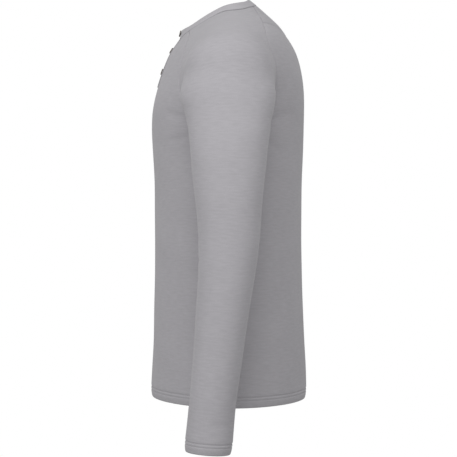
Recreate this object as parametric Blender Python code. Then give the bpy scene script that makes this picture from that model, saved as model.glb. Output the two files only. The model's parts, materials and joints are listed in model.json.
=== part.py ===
"""Long-sleeved henley shirt with raglan sleeves, in the hollow form it has when it is worn.

Frame: metres, +Z up, the front faces -Y and the wearer's left is +X. The origin lies between
the shoulders, level with the side of the neck seam, where the wearer holds the shirt up.

The outer face of the cloth lies on one smooth form: a torso and two arms, each given by
level sections, blended at the shoulders and over the underarms. Every panel is a grid of
points on that form between its seams, with a wall of cloth behind it.
"""

import math

import bmesh
import bpy
import numpy as np
from mathutils import Matrix, Vector

# Cloth and seams.
JERSEY = 0.0015  # wall of the body and sleeves
BAND_CLOTH = 0.0022  # neckband, two layers
PLACKET_CLOTH = 0.0017  # each placket strip, two layers
SEAM_GAP = 0.0003
LAYER_GAP = 0.0003  # between pieces that lie on each other

# The hem and the cuffs: the level of their edge, and how much it drops for each metre backwards.
HEM_Z = -0.6792
HEM_SLOPE = -0.012
CUFF_Z = -0.7392  # at the middle of the arm
CUFF_SLOPE = -0.075

# Placket.
SLOT_HALF = 0.009  # half of the slot in the front, under the placket
PLACKET_HALF = 0.013
SLOT_END_Z = -0.121
PLACKET_END_Z = -0.128

# Neckband.
BAND_RAISED = 0.0004  # its outer face stands proud of the panels
BAND_OVER = BAND_CLOTH  # its left end stands out this much, to lie on the placket's level
BAND_UNDER = -LAYER_GAP  # and its right end lies behind the left one
BAND_TURN = (0.016, 0.045)  # from the centre front, the stretch in which each end comes in line
BAND_ROWS = 4

# Buttons, sewn on the band and on the placket.
BUTTON_Z = (-0.0312, -0.0628, -0.1000)
BUTTON_TURNS = 28
BUTTON_PROFILE = (  # radius and height, from the middle of its back to the middle of its face
    (0.0000, 0.0000),
    (0.0047, 0.0000),
    (0.0055, 0.0005),
    (0.00575, 0.0010),
    (0.0055, 0.0017),
    (0.0049, 0.0020),
    (0.0043, 0.0018),
    (0.0038, 0.0013),
    (0.0000, 0.0011),
)
BUTTON_HOLE_RADIUS = 0.00075
BUTTON_HOLE_PITCH = 0.0027
BUTTON_HOLE_SIDES = 10
DRILL_DEPTH = 0.006

# The torso: level sections. Front and back are where its face crosses the centre plane.
TORSO_COLUMNS = ("z", "half_width", "front", "back", "square")
TORSO = (
    (0.060, 0.058, -0.022, 0.0320, 2.00),
    (0.030, 0.062, -0.040, 0.0410, 2.00),
    (0.018, 0.066, -0.047, 0.0502, 1.95),
    (0.000, 0.080, -0.057, 0.0703, 1.90),
    (-0.013, 0.108, -0.066, 0.0843, 1.86),
    (-0.027, 0.139, -0.077, 0.0967, 1.86),
    (-0.041, 0.160, -0.0850, 0.1055, 1.92),
    (-0.060, 0.172, -0.0980, 0.1168, 2.00),
    (-0.088, 0.178, -0.1118, 0.1270, 2.08),
    (-0.131, 0.177, -0.1266, 0.1341, 2.15),
    (-0.175, 0.170, -0.1361, 0.1352, 2.18),
    (-0.235, 0.164, -0.1354, 0.1332, 2.18),
    (-0.311, 0.162, -0.1320, 0.1308, 2.15),
    (-0.383, 0.161, -0.1313, 0.1300, 2.15),
    (-0.455, 0.162, -0.1315, 0.1312, 2.12),
    (-0.527, 0.166, -0.1329, 0.1334, 2.06),
    (-0.598, 0.171, -0.1350, 0.1372, 1.98),
    (-0.682, 0.178, -0.1399, 0.1399, 1.86),
)

# The left arm: level sections. The right arm is its mirror image.
ARM_COLUMNS = ("z", "centre_x", "centre_y", "half_x", "half_y")
ARM = (
    (-0.125, 0.1780, 0.0005, 0.0545, 0.0730),
    (-0.145, 0.1870, -0.0005, 0.0550, 0.0775),
    (-0.165, 0.1955, -0.0010, 0.0540, 0.0785),
    (-0.190, 0.2045, 0.0008, 0.0525, 0.0728),
    (-0.235, 0.2225, 0.0012, 0.0500, 0.0650),
    (-0.285, 0.2330, 0.0002, 0.0480, 0.0600),
    (-0.350, 0.2405, 0.0008, 0.0450, 0.0530),
    (-0.415, 0.2450, -0.0002, 0.0430, 0.0487),
    (-0.479, 0.2490, -0.0058, 0.0410, 0.0446),
    (-0.543, 0.2520, -0.0128, 0.0390, 0.0418),
    (-0.607, 0.2540, -0.0195, 0.0370, 0.0391),
    (-0.6745, 0.2555, -0.0268, 0.0354, 0.0379),
    (-0.745, 0.2560, -0.0335, 0.0348, 0.0391),
)
ARM_TOP = ARM[0][0]  # above this level the arm ends in a dome
DOME_HEIGHT = 0.070

# How widely the arms blend into the torso, over the underarm and over the shoulder.
BLEND_COLUMNS = ("z", "reach")
BLEND = ((-0.30, 0.030), (-0.20, 0.030), (-0.11, 0.055), (0.06, 0.055))

# The left half of the neck seam, from the centre front to the centre back, and the neckband's top
# edge, each row over the same row of the seam. The columns are x, y and z.
NECK = (
    (0.0000, -0.0866, -0.0434),
    (0.0330, -0.0785, -0.0392),
    (0.0540, -0.0676, -0.0334),
    (0.0680, -0.0532, -0.0242),
    (0.0760, -0.0374, -0.0142),
    (0.0795, -0.0234, -0.0070),
    (0.0800, -0.0113, -0.0009),
    (0.0795, 0.0026, 0.0000),
    (0.0730, 0.0200, 0.0003),
    (0.0575, 0.0342, 0.0055),
    (0.0430, 0.0424, 0.0098),
    (0.0220, 0.0480, 0.0150),
    (0.0000, 0.0500, 0.0182),
)
NECK_FRONT_SEAM = 2  # the row of NECK where the front raglan seam starts
NECK_BACK_SEAM = 10  # the row of NECK where the back raglan seam starts
NECK_HEART = (0.0, -0.012, -0.070)  # a point inside the chest, from which the neck seam is seen
BAND_TOP = (
    (0.0000, -0.0815, -0.0245),
    (0.0310, -0.0735, -0.0236),
    (0.0460, -0.0618, -0.0192),
    (0.0560, -0.0480, -0.0115),
    (0.0615, -0.0350, -0.0042),
    (0.0655, -0.0215, 0.0028),
    (0.0670, -0.0090, 0.0085),
    (0.0660, 0.0040, 0.0125),
    (0.0605, 0.0180, 0.0158),
    (0.0480, 0.0280, 0.0195),
    (0.0355, 0.0328, 0.0235),
    (0.0180, 0.0355, 0.0280),
    (0.0000, 0.0362, 0.0298),
)

# The left raglan seams under their start at the neck, as x, y and z; both end at the underarm.
FRONT_SEAM = (
    (0.0800, -0.0700, -0.0440),
    (0.1040, -0.0730, -0.0590),
    (0.1210, -0.0760, -0.0760),
    (0.1320, -0.0800, -0.0980),
    (0.1390, -0.0850, -0.1250),
    (0.1445, -0.0840, -0.1580),
    (0.1555, -0.0650, -0.1970),
    (0.1640, -0.0350, -0.2240),
)
BACK_SEAM = (
    (0.0669, 0.0515, -0.0057),
    (0.1050, 0.0560, -0.0254),
    (0.1354, 0.0601, -0.0455),
    (0.1530, 0.0650, -0.0640),
    (0.1600, 0.0715, -0.0876),
    (0.1570, 0.0785, -0.1080),
    (0.1520, 0.0830, -0.1369),
    (0.1510, 0.0790, -0.1638),
    (0.1570, 0.0620, -0.1990),
    (0.1640, 0.0340, -0.2240),
)
ARMHOLE_HEART = (0.125, 0.0, -0.115)  # a point inside the shoulder, from which the seams are seen
SHOULDER_HEARTS = ((0.052, 0.0, -0.052), (0.110, 0.0, -0.095), (0.170, 0.0, -0.150))  # and for its rows
UNDERARM_SEARCH = ((0.145, 0.190), (-0.300, -0.170))  # where the underarm lies, along x and z

# The left half of the yoke seam across the back.
YOKE_COLUMNS = ("x", "z")
YOKE_SEAM = ((0.000, -0.0440), (0.030, -0.0410), (0.055, -0.0330), (0.072, -0.0275), (0.088, -0.0255))
YOKE_ROW = 3
YOKE_SHARE = 0.215  # of the back raglan seam, from the neck to the yoke seam

# The levels at which rows of the upper panels cross the centre front and the centre back.
FRONT_ROWS = (
    -0.0434, -0.054, -0.066, -0.079, -0.093, -0.107, SLOT_END_Z, PLACKET_END_Z, -0.141, -0.155, -0.170, -0.185,
    -0.201, -0.217,
)
BACK_ROWS = (
    0.0182, -0.004, -0.024, -0.044, -0.058, -0.072, -0.087, -0.103, -0.120, -0.138, -0.156, -0.175, -0.194,
    -0.214,
)
UPPER_ROWS = len(FRONT_ROWS)  # rows between the neck seam and the underarm

# Counts, and the spacing of rows under the underarm.
FRONT_COLUMNS = 8  # from the placket's edge to the side
BACK_COLUMNS = 10  # from the centre back to the side
LOWER_ROWS = 15
SLEEVE_COLUMNS = 20
SLEEVE_ROWS = 24
WAY_OUT = 0.006  # from the underarm to the first row under it
FINE_START = 1.1  # the rows under the underarm start closer together than they end

COLOURS = {
    "jersey": (0.335, 0.325, 0.342, 1.0),
    "band": (0.345, 0.335, 0.350, 1.0),
    "button": (0.110, 0.095, 0.082, 1.0),
}


# ---------------------------------------------------------------- tables and curves


def column(table, columns, name):
    """One named column of a table, as an array."""
    return np.array([row[columns.index(name)] for row in table])


def smooth_through(stations, values):
    """A natural cubic spline through values at rising stations, held level beyond both ends."""
    x, y = np.asarray(stations, float), np.asarray(values, float)
    step = np.diff(x)
    rise = np.diff(y) / step
    system = np.eye(len(x))
    right = np.zeros(len(x))
    for i in range(1, len(x) - 1):
        system[i, i - 1 : i + 2] = step[i - 1], 2 * (step[i - 1] + step[i]), step[i]
        right[i] = 6 * (rise[i] - rise[i - 1])
    bend = np.linalg.solve(system, right)

    def value(at):
        at = np.clip(at, x[0], x[-1])
        i = np.clip(np.searchsorted(x, at) - 1, 0, len(x) - 2)
        a, b, h = at - x[i], x[i + 1] - at, step[i]
        curve = (bend[i] * b**3 + bend[i + 1] * a**3) / (6 * h)
        line = (y[i] / h - bend[i] * h / 6) * b + (y[i + 1] / h - bend[i + 1] * h / 6) * a
        return curve + line

    return value


def table_splines(table, columns):
    """Splines of every column of a table against its first one, z."""
    order = np.argsort(column(table, columns, "z"))
    z = column(table, columns, "z")[order]
    return {name: smooth_through(z, column(table, columns, name)[order]) for name in columns[1:]}


DENSE = 400  # points on a curve from which even ones are read


def curve_through(points, count):
    """Points spaced evenly along a smooth curve through the given points."""
    points = np.asarray(points, float)
    along = np.concatenate([[0], np.cumsum(np.linalg.norm(np.diff(points, axis=0), axis=1))])
    axes = [smooth_through(along, points[:, k]) for k in range(3)]
    fine = np.linspace(0, along[-1], DENSE)
    dense = np.stack([axis(fine) for axis in axes], axis=1)
    length = np.concatenate([[0], np.cumsum(np.linalg.norm(np.diff(dense, axis=0), axis=1))])
    at = np.interp(np.linspace(0, length[-1], count), length, fine)
    return np.stack([axis(at) for axis in axes], axis=1)


def ease(share):
    """0 to 1 with a soft start and end."""
    share = np.clip(share, 0, 1)
    return share * share * (3 - 2 * share)


# ---------------------------------------------------------------- the form


TORSO_AT = table_splines(TORSO, TORSO_COLUMNS)
ARM_AT = table_splines(ARM, ARM_COLUMNS)
BLEND_AT = table_splines(BLEND, BLEND_COLUMNS)
TINY = 1e-9
MERGE = 1e-6
SLOPE_STEP = 1e-4
CAST_STEP, CAST_REACH = 0.003, 0.36
HALVINGS = 26


def torso_depth(p):
    """How far points lie outside the torso, measured level from its axis; negative inside."""
    z = p[..., 2]
    front, back, square = TORSO_AT["front"](z), TORSO_AT["back"](z), TORSO_AT["square"](z)
    x = np.abs(p[..., 0])
    y = np.abs(p[..., 1] - (front + back) / 2)
    across = x / TORSO_AT["half_width"](z)
    deep = y / ((back - front) / 2)
    size = (across**square + deep**square + TINY) ** (1 / square)
    away = np.hypot(x, y) + TINY
    return away - away / size


def arm_depth(p):
    """How far points lie outside the nearer arm, measured from its axis; negative inside."""
    z = np.minimum(p[..., 2], ARM_TOP)
    x = np.abs(p[..., 0]) - ARM_AT["centre_x"](z)
    y = p[..., 1] - ARM_AT["centre_y"](z)
    up = np.maximum(p[..., 2] - ARM_TOP, 0)
    size = np.sqrt(
        (x / ARM_AT["half_x"](z)) ** 2 + (y / ARM_AT["half_y"](z)) ** 2 + (up / DOME_HEIGHT) ** 2 + TINY
    )
    away = np.sqrt(x * x + y * y + up * up + TINY)
    return away - away / size


def slope_of(field, p):
    """The gradient of a field at points, by central differences."""
    parts = []
    for axis in range(3):
        step = np.zeros(3)
        step[axis] = SLOPE_STEP
        parts.append((field(p + step) - field(p - step)) / (2 * SLOPE_STEP))
    return np.stack(parts, axis=-1)


def true_depth(field, p):
    """A field divided by its slope, which is close to the real distance near its surface."""
    return field(p) / np.maximum(np.linalg.norm(slope_of(field, p), axis=-1), 0.5)


def form(p):
    """The body form: negative inside, zero on the outer face of the cloth."""
    torso, arm = true_depth(torso_depth, p), true_depth(arm_depth, p)
    reach = BLEND_AT["reach"](p[..., 2])
    near = np.maximum(reach - np.abs(torso - arm), 0) / reach
    return np.minimum(torso, arm) - near**3 * reach / 6


def out_of(p):
    """The outward direction of the form at points on it."""
    slope = slope_of(form, p)
    return slope / np.maximum(np.linalg.norm(slope, axis=-1, keepdims=True), TINY)


def cast(origins, directions):
    """Where rays that start inside the form first leave it."""
    origins, directions = np.broadcast_arrays(np.asarray(origins, float), np.asarray(directions, float))
    directions = directions / np.linalg.norm(directions, axis=-1, keepdims=True)
    low = np.zeros(origins.shape[:-1])
    high = np.full(origins.shape[:-1], np.nan)
    for distance in np.arange(CAST_STEP, CAST_REACH, CAST_STEP):
        outside = form(origins + distance * directions) > 0
        high = np.where(np.isnan(high) & outside, distance, high)
        low = np.where(np.isnan(high), distance, low)
        if not np.isnan(high).any():
            break
    for _ in range(HALVINGS):
        middle = (low + high) / 2
        outside = form(origins + middle[..., None] * directions) > 0
        high = np.where(outside, middle, high)
        low = np.where(outside, low, middle)
    return origins + low[..., None] * directions


def at_angle(angle, z):
    """The face of the torso at a heading from its axis, 0 at the front and 90 degrees at the left."""
    angle, z = np.broadcast_arrays(np.asarray(angle, float), np.asarray(z, float))
    level = np.zeros_like(z)
    heading = np.stack([np.sin(angle), -np.cos(angle), level], axis=-1)
    return cast(np.stack([level, level, z], axis=-1), heading)


def underarm():
    """The top of the gap between the left arm and the side of the torso."""
    (inner, outer), (low, high) = UNDERARM_SEARCH
    x = np.linspace(inner, outer, 181)
    for _ in range(HALVINGS):
        z = (low + high) / 2
        values = form(np.stack([x, np.zeros_like(x), np.full_like(x, z)], axis=1))
        low, high = (z, high) if values.max() > 0 else (low, z)
    return np.array([x[values.argmax()], 0.0, z])


# ---------------------------------------------------------------- walls of cloth


def object_from(name, points, faces, colour):
    """A mesh object with a plain material."""
    mesh = bpy.data.meshes.new(name)
    mesh.from_pydata([tuple(p) for p in points], [], faces)
    mesh.validate()
    made = bpy.data.objects.new(name, mesh)
    bpy.context.scene.collection.objects.link(made)
    material = bpy.data.materials.get(colour) or bpy.data.materials.new(colour)
    material.use_nodes = True
    shader = material.node_tree.nodes["Principled BSDF"]
    shader.inputs["Base Color"].default_value = COLOURS[colour]
    shader.inputs["Roughness"].default_value = 0.45 if colour == "button" else 0.9
    shader.inputs["Metallic"].default_value = 0.0
    mesh.materials.append(material)
    mesh.shade_smooth()
    mesh.set_sharp_from_angle(angle=math.radians(50))
    return made


def rim(a, b, shift):
    """Two triangles that close a wall over its edge from a to b, cut on the same corners as those of
    the panel that it is sewn to."""
    if a < b:
        return [(b, a, b + shift), (a, a + shift, b + shift)]
    return [(b, a, a + shift), (b, a + shift, b + shift)]


def wall(name, outer, inner, colour="jersey", missing=(), tube_from=None):
    """A closed wall between two grids of points, outer and inner, with the missing cells left out.

    From row tube_from on, the last column is the first one again, so that the wall closes to a tube."""
    rows, columns = outer.shape[:2]

    def index(i, j):
        if tube_from is not None and i >= tube_from and j == columns - 1:
            j = 0
        return i * columns + j

    cells = [
        (index(i, j), index(i + 1, j), index(i + 1, j + 1), index(i, j + 1))
        for i in range(rows - 1)
        for j in range(columns - 1)
        if (i, j) not in missing
    ]
    sides = {(a, b) for cell in cells for a, b in zip(cell, cell[1:] + cell[:1]) if a != b}
    shift = rows * columns
    faces = cells + [tuple(v + shift for v in reversed(cell)) for cell in cells]
    for a, b in sorted(sides):
        if (b, a) not in sides:
            faces += rim(a, b, shift)
    used = sorted({v for face in faces for v in face})
    place = {v: k for k, v in enumerate(used)}
    points = np.concatenate([outer.reshape(-1, 3), inner.reshape(-1, 3)])[used]
    return object_from(name, points, [tuple(place[v] for v in face) for face in faces], colour)


def drawn_in(grid, edge, by=SEAM_GAP / 2):
    """The grid with one edge moved square to itself into the panel, which leaves the seam's gap."""
    grid = grid.copy()
    line, beside = {
        "top": (grid[0], grid[1]),
        "bottom": (grid[-1], grid[-2]),
        "first": (grid[:, 0], grid[:, 1]),
        "last": (grid[:, -1], grid[:, -2]),
    }[edge]
    along = np.gradient(line, axis=0)
    along /= np.maximum(np.linalg.norm(along, axis=1, keepdims=True), TINY)
    inward = beside - line
    inward -= (inward * along).sum(axis=1, keepdims=True) * along
    inward /= np.maximum(np.linalg.norm(inward, axis=1, keepdims=True), TINY)
    line += by * inward
    return grid


def behind(grid, normals, thick=JERSEY):
    """The inner face of a wall."""
    return grid - thick * normals


def mirrored(grid):
    """The same panel on the wearer's right, with its columns in the order that faces it outwards."""
    return (grid * np.array([-1, 1, 1]))[:, ::-1]


# ---------------------------------------------------------------- seams


UNDERARM = underarm()
FINE_POINTS = 801
FRONT_PART = 200  # the first points of the neck seam, over which x rises


def neck_curve():
    """The left half of the neck seam as a fine line on the form, and its length up to each point."""
    guides = curve_through(NECK, FINE_POINTS)
    heart = np.array(NECK_HEART)
    line = cast(heart, guides - heart)
    return line, np.concatenate([[0], np.cumsum(np.linalg.norm(np.diff(line, axis=0), axis=1))])


NECK_LINE, NECK_LENGTHS = neck_curve()


def length_at_row(row):
    """The length along the neck seam at a row of its table."""
    return NECK_LENGTHS[np.linalg.norm(NECK_LINE - np.array(NECK[row]), axis=1).argmin()]


def neck_points(lengths):
    """Points on the left half of the neck seam."""
    return np.stack([np.interp(lengths, NECK_LENGTHS, NECK_LINE[:, k]) for k in range(3)], axis=-1)


FRONT_START, BACK_START = length_at_row(NECK_FRONT_SEAM), length_at_row(NECK_BACK_SEAM)
NECK_HALF = NECK_LENGTHS[-1]
PLACKET_STOPS = np.interp((SLOT_HALF, PLACKET_HALF), NECK_LINE[:FRONT_PART, 0], NECK_LENGTHS[:FRONT_PART])
FRONT_STOPS = np.append(PLACKET_STOPS[0], np.linspace(PLACKET_STOPS[1], FRONT_START, FRONT_COLUMNS + 1))
SLEEVE_STOPS = np.linspace(FRONT_START, BACK_START, SLEEVE_COLUMNS + 1)
BACK_STOPS = np.linspace(BACK_START, NECK_HALF, BACK_COLUMNS + 1)


def raglan_seam(table, start, shares):
    """Points on the form along a left raglan seam, from the neck to the underarm."""
    first = neck_points(start)
    fine = curve_through([tuple(first), *table, tuple(UNDERARM)], FINE_POINTS)
    heart = np.array(ARMHOLE_HEART)
    seam = cast(heart, fine[np.round(shares * (FINE_POINTS - 1)).astype(int)] - heart)
    seam[0], seam[-1] = first, UNDERARM
    return seam


EVEN_SHARES = np.linspace(0, 1, UPPER_ROWS + 1)
YOKE_SHARES = np.append(
    np.linspace(0, YOKE_SHARE, YOKE_ROW + 1)[:-1], np.linspace(YOKE_SHARE, 1, UPPER_ROWS + 1 - YOKE_ROW)
)
SEAM_FRONT = raglan_seam(FRONT_SEAM, FRONT_START, EVEN_SHARES)
SEAM_BACK = raglan_seam(BACK_SEAM, BACK_START, YOKE_SHARES)


def heading(points):
    """The heading of points from the torso's axis, 0 at the front."""
    return np.arctan2(points[..., 0], -points[..., 1])


def yoke_levels(headings):
    """The levels of the yoke seam at the headings of its row."""
    x, z = column(YOKE_SEAM, YOKE_COLUMNS, "x"), column(YOKE_SEAM, YOKE_COLUMNS, "z")
    front, back, square = TORSO_AT["front"](z), TORSO_AT["back"](z), TORSO_AT["square"](z)
    across = 1 - (x / TORSO_AT["half_width"](z)) ** square
    y = (front + back) / 2 + (back - front) / 2 * across ** (1 / square)
    stops = np.append(np.arctan2(x, -y), heading(SEAM_BACK[YOKE_ROW]))
    curve = smooth_through(stops[::-1], np.append(z, SEAM_BACK[YOKE_ROW, 2])[::-1])
    return curve(headings)


# ---------------------------------------------------------------- body panels


def row_headings(z, end, start_angle, fixed, columns):
    """Headings of a row, from the fixed places near the centre to its end at a seam."""
    radius = np.linalg.norm(at_angle(start_angle, z)[:2])
    places = np.abs(start_angle - np.arcsin(np.array(fixed) / radius))
    return np.concatenate([places, np.linspace(places[-1], end, columns + 1)[1:]])


def upper_rows(top, seam, centre_levels, start_angle, fixed, columns, set_rows):
    """Rows of half a body panel from the neck to the underarm.

    set_rows gives the levels of certain rows by number; the rows between are blended from them."""
    angles = [heading(top)]
    for i, z in list(enumerate(centre_levels))[1:] + [(UPPER_ROWS, UNDERARM[2])]:
        angles.append(row_headings(z, heading(seam[i]), start_angle, fixed, columns))
    angles = np.array(angles)
    shares = (angles - angles[:, :1]) / (angles[:, -1:] - angles[:, :1])
    keys = {0: top[:, 2], UPPER_ROWS: np.full(len(top), UNDERARM[2])}
    for row, level_of in set_rows.items():
        keys[row] = level_of(angles[row])
    centre = np.append(centre_levels, UNDERARM[2])
    rows = []
    for i in range(UPPER_ROWS + 1):
        above = max(k for k in keys if k <= i)
        below = min(k for k in keys if k >= i)
        down = 0 if above == below else (centre[i] - centre[above]) / (centre[below] - centre[above])
        level = (1 - down) * keys[above] + down * keys[below]
        if i not in keys:
            level = level + (1 - shares[i]) * (centre[i] - level[0]) + shares[i] * (seam[i, 2] - level[-1])
        rows.append(at_angle(angles[i], level))
    grid = np.array(rows)
    grid[0] = top
    grid[:, -1] = seam
    return grid


def lower_rows(start_angle, fixed, columns):
    """Rows of half a body panel from just under the underarm to the hem."""
    first = UNDERARM[2] - WAY_OUT
    rows = []
    for down in np.linspace(0, 1, LOWER_ROWS):
        z = first + (HEM_Z - first) * down**FINE_START
        angles = row_headings(z, math.pi / 2, start_angle, fixed, columns)
        row = at_angle(angles, z)
        rows.append(at_angle(angles, z + HEM_SLOPE * down * row[:, 1]))
    return np.array(rows)


def cut_level(outer, inner):
    """The inner face with its last row at the levels of the outer one, so that the edge is cut level."""
    inner = inner.copy()
    inner[-1, :, 2] = outer[-1, :, 2]
    return inner


def front_grid():
    """The front's outer points, from the wearer's right to the left, and the outward directions."""
    fixed = (SLOT_HALF, PLACKET_HALF)
    top = neck_points(FRONT_STOPS)
    upper = upper_rows(top, SEAM_FRONT, FRONT_ROWS, 0.0, fixed, FRONT_COLUMNS, {})
    left = np.concatenate([upper, lower_rows(0.0, fixed, FRONT_COLUMNS)])
    centre = at_angle(0.0, left[:, 0, 2])
    centre[0] = neck_points(0.0)
    grid = np.concatenate([mirrored(left), centre[:, None], left], axis=1)
    return grid, out_of(grid)


def front_panel(grid, normals):
    """The front, with its slot under the placket."""
    for edge in ("top", "first", "last"):
        grid = drawn_in(grid, edge)
    middle = FRONT_COLUMNS + len(PLACKET_STOPS)
    missing = {(i, j) for i in range(FRONT_ROWS.index(SLOT_END_Z)) for j in (middle - 1, middle)}
    wall("front", grid, cut_level(grid, behind(grid, normals)), missing=missing)


def back_panels():
    """The back yoke, and the back under it, which share the yoke seam's points."""
    top = neck_points(BACK_STOPS[::-1])
    upper = upper_rows(top, SEAM_BACK, BACK_ROWS, math.pi, (0.0,), BACK_COLUMNS, {YOKE_ROW: yoke_levels})
    left = np.concatenate([upper, lower_rows(math.pi, (0.0,), BACK_COLUMNS)])
    grid = np.concatenate([left[:, ::-1], mirrored(left)[:, ::-1][:, 1:]], axis=1)
    normals = out_of(grid)
    for edge in ("top", "first", "last"):
        grid = drawn_in(grid, edge)
    yoke, yoke_out = drawn_in(grid[: YOKE_ROW + 1], "bottom"), normals[: YOKE_ROW + 1]
    lower, lower_out = drawn_in(grid[YOKE_ROW:], "top"), normals[YOKE_ROW:]
    wall("back_yoke", yoke, behind(yoke, yoke_out))
    wall("back", lower, cut_level(lower, behind(lower, lower_out)))


# ---------------------------------------------------------------- sleeves


def arm_ring(z, slope):
    """The arm's centre at a level, and spokes round it: from the inner side by the front, the outer
    side and the back to the inner side again."""
    turn = np.linspace(math.pi, -math.pi, SLEEVE_COLUMNS + 1)
    half_x, half_y = ARM_AT["half_x"](z), ARM_AT["half_y"](z)
    spokes = np.stack([half_x * np.cos(turn), -half_y * np.sin(turn), -slope * half_y * np.sin(turn)], axis=1)
    return np.array([ARM_AT["centre_x"](z), ARM_AT["centre_y"](z), z]), spokes


def shoulder_rows():
    """Rows of the left sleeve over the shoulder, between its raglan seams."""
    centre, spokes = arm_ring(UNDERARM[2], 0.0)
    ring = cast(centre, spokes)
    ring[[0, -1]] = UNDERARM
    neck = neck_points(SLEEVE_STOPS)
    share = np.linspace(0, 1, SLEEVE_COLUMNS + 1)[:, None]
    hearts = curve_through(SHOULDER_HEARTS + (tuple(centre),), UPPER_ROWS + 1)
    rows = [neck]
    for i in range(1, UPPER_ROWS):
        down = i / UPPER_ROWS
        blend = (1 - down) * neck + down * ring
        ends = (1 - share) * (SEAM_FRONT[i] - blend[0]) + share * (SEAM_BACK[i] - blend[-1])
        row = cast(hearts[i], blend + ends - hearts[i])
        row[0], row[-1] = SEAM_FRONT[i], SEAM_BACK[i]
        rows.append(row)
    return rows + [ring]


def sleeve_grid():
    """The left sleeve's outer points: rows over the shoulder, then rings down to the cuff."""
    rows = shoulder_rows()
    first = UNDERARM[2] - WAY_OUT
    for down in np.linspace(0, 1, SLEEVE_ROWS):
        centre, spokes = arm_ring(first + (CUFF_Z - first) * down**FINE_START, CUFF_SLOPE * ease(down))
        row = cast(centre, spokes)
        row[-1] = row[0]
        rows.append(row)
    return np.array(rows)


def sleeves():
    """Both sleeves, each open at the neck, along its raglan seams and at the cuff."""
    grid = sleeve_grid()
    normals = out_of(grid)
    grid = drawn_in(grid, "top")
    upper = grid[: UPPER_ROWS + 1]
    grid[: UPPER_ROWS + 1] = drawn_in(drawn_in(upper, "first"), "last")
    grid[UPPER_ROWS, [0, -1]] = UNDERARM + np.array([SEAM_GAP / 2, 0, 0])
    inner = cut_level(grid, behind(grid, normals))
    wall("sleeve_left", grid, inner, tube_from=UPPER_ROWS)
    wall("sleeve_right", mirrored(grid), mirrored(inner), tube_from=UPPER_ROWS)


# ---------------------------------------------------------------- neckband, placket and buttons


def band_top(lengths):
    """Points on the left half of the neckband's top edge, over the given lengths along the seam."""
    row = np.interp(lengths, [length_at_row(k) for k in range(len(NECK))], range(len(NECK)))
    points = np.array(BAND_TOP)
    return np.stack([smooth_through(range(len(NECK)), points[:, k])(row) for k in range(3)], axis=-1)


def round_the_neck(line_of, lengths):
    """Points of a left half line at lengths that go on round the neck and past the centre front."""
    whole = 2 * NECK_HALF
    folded = np.where(lengths > whole, lengths - whole, lengths)
    on_right = (folded < 0) | (folded > NECK_HALF)
    folded = np.where(folded < 0, -folded, np.where(folded > NECK_HALF, whole - folded, folded))
    return line_of(folded) * np.where(on_right, -1, 1)[:, None] ** np.array([1, 0, 0])


def band_grid():
    """The neckband as if it were flush, with its outward directions, and each column's length from
    the centre front."""
    half = np.concatenate([[0], FRONT_STOPS, SLEEVE_STOPS[1:], BACK_STOPS[1:]])
    lap = PLACKET_STOPS[::-1]
    lengths = np.concatenate([-lap, half, 2 * NECK_HALF - half[-2::-1], 2 * NECK_HALF + lap[::-1]])
    bottom, top = round_the_neck(neck_points, lengths), round_the_neck(band_top, lengths)
    down = np.linspace(0, 1, BAND_ROWS + 1)[:, None, None]
    grid = (1 - down) * top + down * bottom
    along, across = np.gradient(grid, axis=1), np.gradient(grid, axis=0)
    normals = np.cross(across, along)
    normals /= np.linalg.norm(normals, axis=-1, keepdims=True)
    normals[-1] = out_of(bottom)
    return grid, normals, lengths


def neckband():
    """The neckband: a strip round the neck whose left end laps over its right end at the front."""
    grid, normals, lengths = band_grid()
    left = ease((lengths - BAND_TURN[0]) / (BAND_TURN[1] - BAND_TURN[0]))
    right = ease((2 * NECK_HALF - lengths - BAND_TURN[0]) / (BAND_TURN[1] - BAND_TURN[0]))
    raised = BAND_RAISED + (1 - left) * (BAND_OVER - BAND_RAISED) + (1 - right) * (BAND_UNDER - BAND_RAISED)
    grid = drawn_in(grid, "bottom") + raised[:, None] * normals
    wall("neckband", grid, behind(grid, normals, BAND_CLOTH), colour="band")


def placket(grid, normals):
    """The two placket strips, over and under the front's slot, made from the front's points."""
    grid = drawn_in(grid, "top")
    middle = FRONT_COLUMNS + len(PLACKET_STOPS)
    columns = slice(middle - len(PLACKET_STOPS), middle + len(PLACKET_STOPS) + 1)
    rows = slice(0, FRONT_ROWS.index(PLACKET_END_Z) + 1)
    face, out = grid[rows, columns], normals[rows, columns]
    over = face + (LAYER_GAP + PLACKET_CLOTH) * out
    under = face - (JERSEY + LAYER_GAP) * out
    wall("placket_over", over, behind(over, out, PLACKET_CLOTH), colour="band")
    wall("placket_under", under, behind(under, out, PLACKET_CLOTH), colour="band")


def button(name, seat, out):
    """A sewn-on button with four holes, its back on the seat."""
    turned = bmesh.new()
    line = [turned.verts.new((radius, 0, height)) for radius, height in BUTTON_PROFILE]
    edges = [turned.edges.new(pair) for pair in zip(line, line[1:])]
    bmesh.ops.spin(
        turned, geom=line + edges, axis=(0, 0, 1), cent=(0, 0, 0), angle=math.tau, steps=BUTTON_TURNS,
    )
    bmesh.ops.remove_doubles(turned, verts=turned.verts, dist=MERGE)
    bmesh.ops.recalc_face_normals(turned, faces=turned.faces)
    made = object_from(name, [], [], "button")
    turned.to_mesh(made.data)
    turned.free()
    made.location = seat
    made.rotation_euler = Vector(out).to_track_quat("Z", "Y").to_euler()
    drill = drill_for(made)
    cut = made.modifiers.new("holes", "BOOLEAN")
    cut.operation = "DIFFERENCE"
    cut.solver = "EXACT"
    cut.object = drill


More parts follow.
